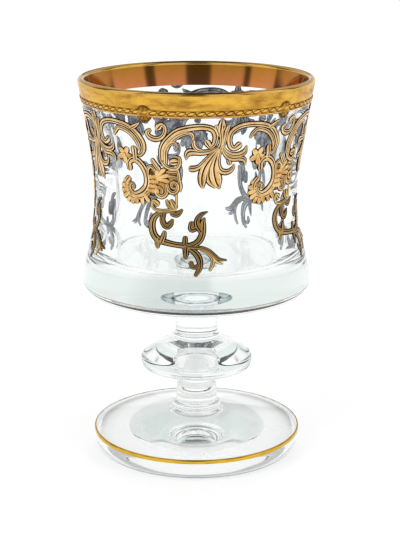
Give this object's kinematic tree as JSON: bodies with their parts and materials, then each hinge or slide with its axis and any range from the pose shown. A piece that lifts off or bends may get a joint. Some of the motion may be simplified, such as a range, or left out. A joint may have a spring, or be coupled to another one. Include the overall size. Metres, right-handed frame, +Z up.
{
  "type": "goblet",
  "caption": "Short stemmed drinking goblet of thick clear glass with a heavy base, a round knop and a broad foot, gilded at the rim and with scrollwork round the bowl.",
  "frame": {"origin": "centre of the foot's underside, on the surface that the goblet stands on", "axes": "+Z up along the axis of the goblet; -Y is the side shown in the picture"},
  "size_m": [0.088, 0.088, 0.145],
  "materials": {
    "clear_glass": "fire polished thick clear glass",
    "burnished_gold": "satin gold leaf, a little tarnished",
    "rim_inside_gold": "polished, copper coloured gold leaf",
    "raised_gold": "raised gilding with engraved contour lines",
    "dark_gold": "raised gilding with a brown patina"
  },
  "bodies": {
    "root": {"bowl": "clear_glass", "upper_neck": "clear_glass", "upper_collar": "clear_glass", "knop": "clear_glass", "lower_neck": "clear_glass", "lower_collar": "clear_glass", "foot": "clear_glass", "outer_band": "burnished_gold", "lip_band": "burnished_gold", "inner_band": "rim_inside_gold", "chain_border": "burnished_gold", "band_line": "burnished_gold", "foot_line": "burnished_gold", "rosette_1": "raised_gold", "rosette_2": "raised_gold", "rosette_3": "raised_gold", "rosette_4": "raised_gold", "rosette_5": "raised_gold", "comma_scroll_1": "raised_gold", "comma_scroll_2": "raised_gold", "comma_scroll_3": "raised_gold", "comma_scroll_4": "raised_gold", "comma_scroll_5": "raised_gold", "palmette_1": "raised_gold", "palmette_2": "raised_gold", "palmette_3": "raised_gold", "palmette_4": "raised_gold", "palmette_5": "raised_gold", "left_scroll_1": "raised_gold", "left_scroll_2": "raised_gold", "left_scroll_3": "raised_gold", "left_scroll_4": "raised_gold", "left_scroll_5": "raised_gold", "right_scroll_1": "raised_gold", "right_scroll_2": "raised_gold", "right_scroll_3": "raised_gold", "right_scroll_4": "raised_gold", "right_scroll_5": "raised_gold", "cartouche_1": "raised_gold", "cartouche_2": "raised_gold", "cartouche_3": "raised_gold", "cartouche_4": "raised_gold", "cartouche_5": "raised_gold", "pendant_1": "dark_gold", "pendant_2": "dark_gold", "pendant_3": "dark_gold", "pendant_4": "dark_gold", "pendant_5": "dark_gold"}
  },
  "joints": []
}
